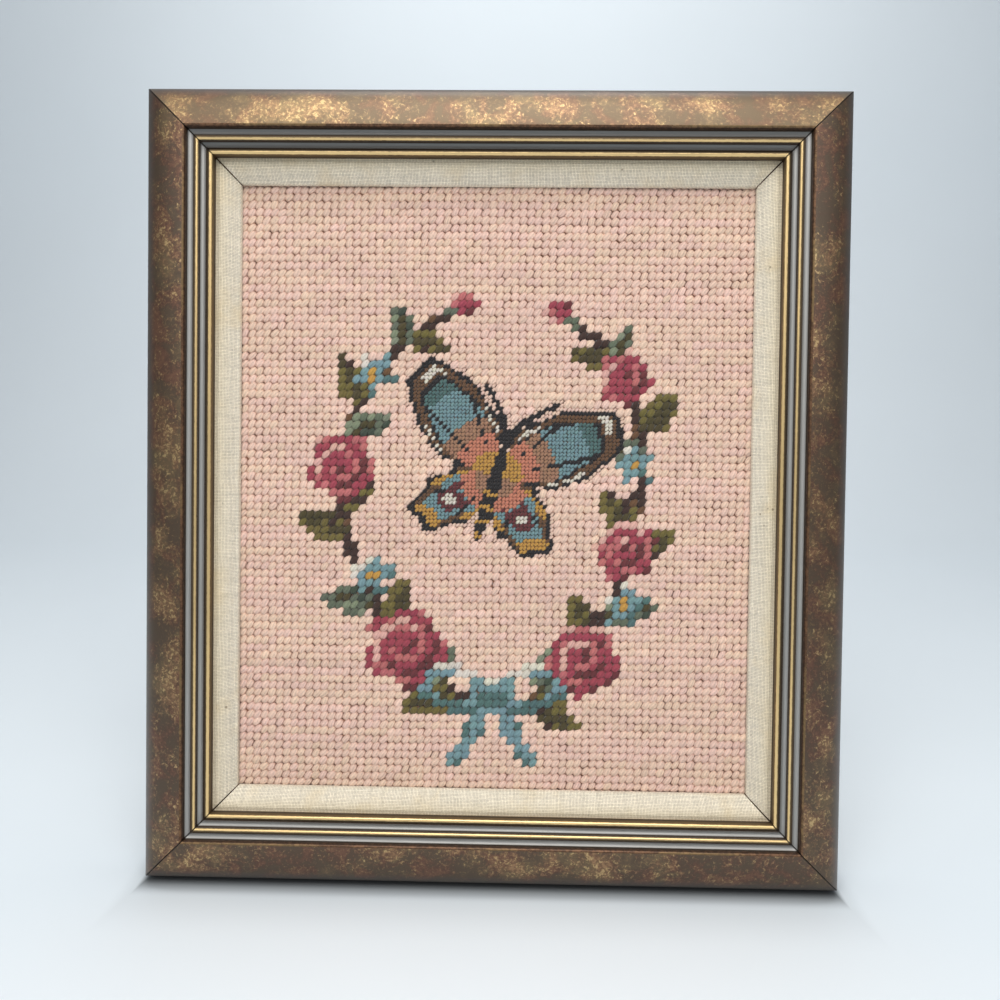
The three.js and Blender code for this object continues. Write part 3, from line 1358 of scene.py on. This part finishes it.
def butterfly(a, b):
    """A butterfly with open wings, in petit point. Its body lies along b."""
    a = abs(a)
    if math.hypot(a / 1.5, (b + 2.5) / 10.5) < 1:
        return "honey" if b < 0 and int(60 + b) % 3 == 0 else "ink"
    if math.hypot(a, b - 9.3) < 1.7:
        return "ink"
    along = np.clip((b - 10.5) / 8.5, 0, 1)
    if 0 < along < 1 and abs(a - 1.0 - 7.0 * along**1.6) < 0.75:
        return "ink"
    r = math.hypot(a, b - 1.0)
    phi = math.degrees(math.atan2(b - 1.0, a))
    fore = phi > 4
    if fore:
        reach = 9 + 19.5 * bulge(phi, 39, 27) + 0.5 * math.cos(math.radians(24 * phi))
    else:
        reach = 6.5 + 12.5 * bulge(phi, -42, 30) + 0.8 * math.cos(math.radians(20 * phi))
    if phi > 80 or phi < -84 or r > reach:
        return None
    rim = reach - r
    rib = abs(math.sin(math.radians(phi * (6.4 if fore else 6.0))))
    if rim < 1.3 or -1 < phi - 4 < 2.5 and r > 5:
        return "ink"
    if fore:
        return fore_wing(r, rim, rib)
    return hind_wing(r, rim, rib, math.hypot(r - reach * 0.56, math.radians(phi + 42) * r))


def fore_wing(r, rim, rib):
    """Yarn of a fore wing, by distance from the body, distance from the rim, and rib."""
    if rim < 4.2:
        return "cream" if rib > 0.82 and 1.9 < rim < 3.4 else "walnut"
    if rib < 0.16 and r > 7 or rim < 5.2:
        return "ink"
    return FORE_WING_TONES[min(5, int((r - 2) / 3.6))]


def hind_wing(r, rim, rib, from_spot):
    """Yarn of a hind wing, which has one spot."""
    if rim < 3.6:
        return "honey" if rib > 0.5 else "walnut"
    if from_spot < 2.6:
        return "cream" if from_spot < 1.3 else "wine"
    if rib < 0.14 and r > 6:
        return "ink"
    return "sky" if r > 7.5 else ("salmon" if r > 4.5 else "tan")


# ---------------------------------------------------------------------------------------------
# Stitches

# The two modelled stitches, in millimetres
LARGE_STITCH = {"segments": 8, "length": 3.85, "width": 2.68, "height": 1.8, "dip": 0.6}
SMALL_STITCH = {"segments": 6, "length": 1.84, "width": 1.24, "height": 0.9, "dip": 0.24}
STITCH_RINGS = 6
# A stitch starts RISE in front of the canvas, less SINK times its scale, in millimetres
RISE = 0.3
SINK = 0.9
# Spread of the stitches: place and base in millimetres, lean in radians, the rest as shares
SPREAD = {
    "place": 0.09,
    "base": 0.05,
    "lean": math.radians(6.5),
    "long": 0.04,
    "wide": 0.07,
    "high": 0.05,
    "tint": 0.03,
    "warmth": 0.25,
}
# How much plumper and lighter a ground stitch is beside a motif
PLUMP = {"wide": 0.04, "high": 0.03, "tint": 0.05}
# A length of yarn: the stitches that it lasts for, and the spread of its tint and warmth
YARN_STITCHES = (6, 34)
YARN_TINT = 0.025
YARN_WARMTH = 0.4
GROUND_BANDS = 3
LARGE, SMALL = 0, 1
QUARTERS = ((0, 0), (1, 0), (0, 1), (1, 1))
NEIGHBOURS = ((1, 0), (-1, 0), (0, 1), (0, -1))


def model_stitch(name, segments, length, width, height, dip):
    """One stitch lying along X and facing +Z: a plump length of yarn with both ends pulled down.

    Sizes are in millimetres. The stitch starts at z = 0 and its crest is at its height.
    """
    deselect_all()
    bpy.ops.mesh.primitive_uv_sphere_add(
        segments=segments, ring_count=STITCH_RINGS, radius=0.5, rotation=(0.0, math.pi / 2, 0.0)
    )
    stitch = bpy.context.object
    stitch.name = name
    bpy.ops.object.transform_apply(location=True, rotation=True, scale=True)
    edit(stitch)
    bpy.ops.transform.resize(value=(length, width, height))
    # A flatter, narrower underside
    select_where(stitch, lambda places: places[:, 2] < -0.05)
    bpy.ops.transform.resize(value=(1.0, 0.8, 0.35), center_override=(0.0, 0.0, 0.0))
    # Blunt ends
    for reach, blunt in ((0.2, 1.06), (0.4, 1.3)):
        select_where(stitch, lambda places: abs(places[:, 0]) > reach * length)
        bpy.ops.transform.resize(value=(1.0, blunt, 1.06), center_override=(0.0, 0.0, 0.0))
    # Ends that dip into the canvas
    for reach, share in ((0.4, 0.35), (0.46, 0.65)):
        select_where(stitch, lambda places: abs(places[:, 0]) > reach * length)
        bpy.ops.transform.translate(value=(0.0, 0.0, -share * dip))
    stop_editing()
    places = points_of(stitch)
    places[:, 2] += height / 2
    put_points(stitch, places)
    return stitch


def copy_stitch(stitch, rows):
    """Copies of one stitch, each where its row puts it: their points and their tones."""
    shape = points_of(stitch)
    x, z, base, lean, long, wide, high, tint, warmth = np.array(rows, float).T[:, :, None]
    along = shape[:, 0] * long
    aside = shape[:, 1] * wide
    up = shape[:, 2] * high
    c, s = np.cos(lean), np.sin(lean)
    points = np.stack([x + along * c - aside * s, -base - up, z + along * s + aside * c], 2)
    places = points.reshape(-1, 3) * MM + (0.0, BACK, MIDDLE_Z)
    tones = {"tint": tint, "warmth": warmth, "lift": shape[:, 2] / shape[:, 2].max()}
    tones = {kind: np.broadcast_to(tone, along.shape).ravel() for kind, tone in tones.items()}
    return places, tones


def joined_mesh(name, batches):
    """One mesh of many stitches. Each batch is a modelled stitch and the rows that place it."""
    places, tones, corners, totals, maps = [], [], [], [], []
    first = 0
    for stitch, rows in batches:
        if not rows:
            continue
        mesh = stitch.data
        spots, tone = copy_stitch(stitch, rows)
        loops = read(mesh.loops, "vertex_index", kind=np.int32)
        sizes = read(mesh.polygons, "loop_total", kind=np.int32)
        uv = read(mesh.uv_layers.active.uv, "vector", 2)
        offsets = first + np.arange(len(rows)) * len(mesh.vertices)
        places.append(spots)
        tones.append(tone)
        corners.append((loops[None, :] + offsets[:, None]).ravel())
        totals.append(np.tile(sizes, len(rows)))
        maps.append(np.tile(uv, len(rows)))
        first += len(spots)
    places, corners, totals = (np.concatenate(part) for part in (places, corners, totals))
    mesh = bpy.data.meshes.new(name)
    mesh.vertices.add(len(places))
    mesh.vertices.foreach_set("co", places.astype(np.float32).ravel())
    mesh.loops.add(len(corners))
    mesh.loops.foreach_set("vertex_index", corners.astype(np.int32))
    mesh.polygons.add(len(totals))
    starts = np.concatenate([[0], np.cumsum(totals)[:-1]])
    mesh.polygons.foreach_set("loop_start", starts.astype(np.int32))
    mesh.polygons.foreach_set("loop_total", totals.astype(np.int32))
    mesh.polygons.foreach_set("use_smooth", np.ones(len(totals), bool))
    layer = mesh.uv_layers.new(name="UVMap")
    layer.uv.foreach_set("vector", np.concatenate(maps))
    for kind in ("tint", "warmth", "lift"):
        add_attribute(mesh, kind, np.concatenate([tone[kind] for tone in tones]))
    mesh.update(calc_edges=True)
    mesh.validate()
    return mesh


def wander(x, z):
    """Where a stitch of an even grid comes to lie, as the rows wander. In millimetres."""
    x += 0.2 * math.sin(z / 17 + 0.6 * math.sin(x / 40))
    z += 0.22 * math.sin(x / 26 + 1.3 * math.sin(z / 38) + 1.0)
    return x, z


class PICTURE_OT_add_stitches(bpy.types.Operator):
    """Work the whole cloth in wool: ground, garland and petit point butterfly"""

    bl_idname = "picture.add_stitches"
    bl_label = "Add Stitches"

    def execute(self, context):
        look = settings("needlework")
        chart = Chart(look.columns, look.rows)
        chart_garland(chart)
        fine_chart = Chart(2 * look.columns, 2 * look.rows)
        fine_chart.lay(butterfly, **BUTTERFLY)
        large = model_stitch("large_stitch", **LARGE_STITCH)
        small = model_stitch("small_stitch", **SMALL_STITCH)
        work = self.place_stitches(look, chart, fine_chart)

        for name, (large_rows, small_rows) in work.items():
            mesh = joined_mesh(f"stitches_{name}", ((large, large_rows), (small, small_rows)))
            piece = bpy.data.objects.new(f"stitches_{name}", mesh)
            context.collection.objects.link(piece)
            yarn = GROUND if name.startswith(GROUND) else name
            known = bpy.data.materials.get(f"wool_{yarn}")
            mesh.materials.append(known or yarn_finish(yarn).material)
            settle(piece, "wool_on_canvas")
        for stitch in (large, small):
            bpy.data.objects.remove(stitch)
        return {"FINISHED"}

    def place_stitches(self, look, chart, fine_chart):
        """The rows that place every stitch, large and small, for each piece of one yarn."""
        dice = np.random.default_rng(SEED)
        pitch = look.pitch / MM
        front = look.canvas_front / MM
        fine = {(column // 2, row // 2) for column, row in fine_chart.yarns}
        work = {}

        def add(yarn, band, size, stitch):
            name = f"{GROUND}_{band + 1}" if yarn == GROUND else yarn
            work.setdefault(name, ([], []))[size].append(stitch)

        left = 0
        for row in range(look.rows):
            band = row * GROUND_BANDS // look.rows
            for column in range(look.columns):
                if left == 0:
                    left = dice.integers(*YARN_STITCHES)
                    lighter = dice.normal(0, YARN_TINT)
                    warmer = dice.uniform(-YARN_WARMTH, YARN_WARMTH)
                left -= 1
                yarn = chart.yarns.get((column, row), GROUND)
                x = (column - (look.columns - 1) / 2) * pitch
                z = (row - (look.rows - 1) / 2) * pitch
                x, z = wander(x, z)
                if (column, row) in fine:
                    for i, j in QUARTERS:
                        cell = (2 * column + i, 2 * row + j)
                        at = (x + (i - 0.5) * pitch / 2, z + (j - 0.5) * pitch / 2)
                        stitch = self.one_stitch(dice, at, front, 0.5, look.lean)
                        add(fine_chart.yarns.get(cell, yarn), band, SMALL, stitch)
                    continue
                beside = [(column + i, row + j) for i, j in NEIGHBOURS]
                free = yarn == GROUND and any(c in chart.yarns or c in fine for c in beside)
                length_of_yarn = (lighter, warmer)
                at = (x, z)
                stitch = self.one_stitch(dice, at, front, 1.0, look.lean, free, length_of_yarn)
                add(yarn, band, LARGE, stitch)
        return work

    def one_stitch(self, dice, at, front, scale, lean, free=False, yarn=(0.0, 0.0)):
        """Place, lean, stretch and tone of one stitch. A free one, beside a motif, is plumper.

        yarn holds how much lighter and how much warmer than most its length of yarn is.
        """
        x, z = at
        x += dice.normal(0, SPREAD["place"]) * scale
        z += dice.normal(0, SPREAD["place"]) * scale
        base = front + RISE - SINK * scale + float(swell(x, z))
        base += dice.normal(0, SPREAD["base"]) * scale
        lean = lean + dice.normal(0, SPREAD["lean"])
        long = 1 + dice.normal(0, SPREAD["long"])
        wide = 1 + dice.normal(0, SPREAD["wide"]) + PLUMP["wide"] * free
        high = 1 + dice.normal(0, SPREAD["high"]) + PLUMP["high"] * free
        tint = 1 + dice.normal(0, SPREAD["tint"]) + PLUMP["tint"] * free + yarn[0]
        warmth = 0.5 + dice.normal(0, SPREAD["warmth"]) + yarn[1]
        return (x, z, base, lean, long, wide, high, tint, warmth)


# ---------------------------------------------------------------------------------------------
# Stage

CAMERA_PLACE = Vector((0.0081, -0.2957, 0.1337))
CAMERA_AIM = Vector((0.0023, -0.010, 0.1275))
CAMERA_ROLL = math.radians(0.72)
STAGE_SIZE = 2.4
BACKDROP_Y = 0.95
SWEEP_RADIUS = 0.45
BACKDROP_HEIGHT = 1.6
LEAN = math.radians(8)

LIGHT_COLOUR = (1.0, 0.98, 0.95)
LIT_MIDDLE = (0.0, 0.0, 0.15)
# Each light: its name, the setting that holds its power, its place, its aim and its size
LIGHTS = (
    ("key_light", "key_power", (0.0, -0.62, 0.86), LIT_MIDDLE, (0.6, 0.6)),
    ("top_light", "top_power", (0.0, -0.02, 1.0), LIT_MIDDLE, (0.5, 0.3)),
    ("left_light", "fill_power", (-0.55, -0.8, 0.55), LIT_MIDDLE, (0.4, 0.5)),
    ("right_light", "fill_power", (0.55, -0.8, 0.55), LIT_MIDDLE, (0.4, 0.5)),
    ("back_light", "back_power", (0.0, 0.3, 1.0), (0.0, BACKDROP_Y, 0.85), (0.6, 0.3)),
)


def add_light(name, power, place, aim, size):
    """A rectangular soft light that faces its aim."""
    light = bpy.data.lights.new(name, "AREA")
    light.shape = "RECTANGLE"
    light.size, light.size_y = size
    light.energy = power
    light.color = LIGHT_COLOUR
    lamp = bpy.data.objects.new(name, light)
    lamp.location = place
    lamp.rotation_euler = (Vector(aim) - Vector(place)).to_track_quat("-Z", "Y").to_euler()
    bpy.context.collection.objects.link(lamp)


class PICTURE_OT_add_stage(bpy.types.Operator):
    """Add a pale floor that sweeps up to a backdrop, soft lights and a camera"""

    bl_idname = "picture.add_stage"
    bl_label = "Add Stage"

    def execute(self, context):
        look = settings("stage")
        self.add_sweep()
        self.add_room(context.scene, look)
        for name, power, place, aim, size in LIGHTS:
            add_light(name, getattr(look, power), place, aim, size)
        self.add_camera(context.scene, look)
        return {"FINISHED"}

    def add_sweep(self):
        """A floor whose back edge is spun up into a wall, turned about the foot of the back."""
        deselect_all()
        bpy.ops.mesh.primitive_plane_add(size=STAGE_SIZE, location=(0, 0, LOW.z))
        floor = bpy.context.object
        floor.name = "floor"
        bpy.ops.object.transform_apply(location=True)
        places = points_of(floor)
        places[places[:, 1] > 0, 1] = BACKDROP_Y - SWEEP_RADIUS
        put_points(floor, places)
        edit(floor)
        select_where(floor, lambda places: places[:, 1] > 0)
        centre = (0.0, BACKDROP_Y - SWEEP_RADIUS, LOW.z + SWEEP_RADIUS)
        bpy.ops.mesh.spin(steps=24, angle=-math.pi / 2, center=centre, axis=(1.0, 0.0, 0.0))
        rise = (0.0, 0.0, BACKDROP_HEIGHT - SWEEP_RADIUS)
        bpy.ops.mesh.extrude_region_move(TRANSFORM_OT_translate={"value": rise})
        bpy.ops.mesh.select_all(action="SELECT")
        bpy.ops.mesh.normals_make_consistent(inside=False)
        bpy.ops.transform.rotate(value=-LEAN, orient_axis="X", center_override=(0, BACK, LOW.z))
        stop_editing()
        smooth(floor, 60)
        floor.data.materials.append(floor_finish().material)

    def add_room(self, scene, look):
        """An even light from all round."""
        world = bpy.data.worlds.new("room")
        world.use_nodes = True
        background = world.node_tree.nodes["Background"]
        background.inputs["Color"].default_value = (*look.room, 1.0)
        background.inputs["Strength"].default_value = look.room_strength
        scene.world = world
        scene.view_settings.view_transform = "Standard"

    def add_camera(self, scene, look):
        """The camera, close in front and a little to the right of the middle."""
        lens = bpy.data.cameras.new("camera")
        lens.lens = look.lens
        lens.sensor_width = 36.0
        lens.clip_start = 0.01
        camera = bpy.data.objects.new("camera", lens)
        turn = (CAMERA_AIM - CAMERA_PLACE).to_track_quat("-Z", "Y").to_matrix().to_4x4()
        roll = Matrix.Rotation(CAMERA_ROLL, 4, "Z")
        camera.matrix_world = Matrix.Translation(CAMERA_PLACE) @ turn @ roll
        bpy.context.collection.objects.link(camera)
        scene.camera = camera


# ---------------------------------------------------------------------------------------------
# Add-on


class PICTURE_PT_panel(bpy.types.Panel):
    """The picture's pieces and their settings"""

    bl_idname = "PICTURE_PT_panel"
    bl_label = "Needlepoint Picture"
    bl_space_type = "VIEW_3D"
    bl_region_type = "UI"
    bl_category = "Needlepoint"

    def draw(self, context):
        for operator, kinds in STEPS.items():
            box = self.layout.box()
            box.operator(operator.bl_idname)
            for kind in kinds:
                group = settings(kind)
                for name in group.bl_rna.properties.keys():
                    if name not in ("rna_type", "name"):
                        box.prop(group, name)


SETTINGS = {
    "moulding": MouldingSettings,
    "liner": LinerSettings,
    "needlework": NeedleworkSettings,
    "yarns": YarnSettings,
    "stage": StageSettings,
}
# Each operator in its order, with the settings that the panel shows under it
STEPS = {
    PICTURE_OT_add_board: (),
    PICTURE_OT_add_canvas: (),
    PICTURE_OT_add_stitches: ("needlework", "yarns"),
    PICTURE_OT_add_liner: ("liner",),
    PICTURE_OT_add_moulding: ("moulding",),
    PICTURE_OT_add_stage: ("stage",),
}
CLASSES = (*SETTINGS.values(), *STEPS, PICTURE_PT_panel)


def register():
    for cls in CLASSES:
        bpy.utils.register_class(cls)
    for kind, cls in SETTINGS.items():
        setattr(bpy.types.Scene, f"needlepoint_{kind}", bpy.props.PointerProperty(type=cls))


def unregister():
    for kind in SETTINGS:
        delattr(bpy.types.Scene, f"needlepoint_{kind}")
    for cls in reversed(CLASSES):
        bpy.utils.unregister_class(cls)


def main():
    register()
    bpy.ops.picture.add_board()
    bpy.ops.picture.add_canvas()
    bpy.ops.picture.add_stitches()
    bpy.ops.picture.add_liner()
    bpy.ops.picture.add_moulding()
    bpy.ops.picture.add_stage()


if __name__ == "__main__":
    main()
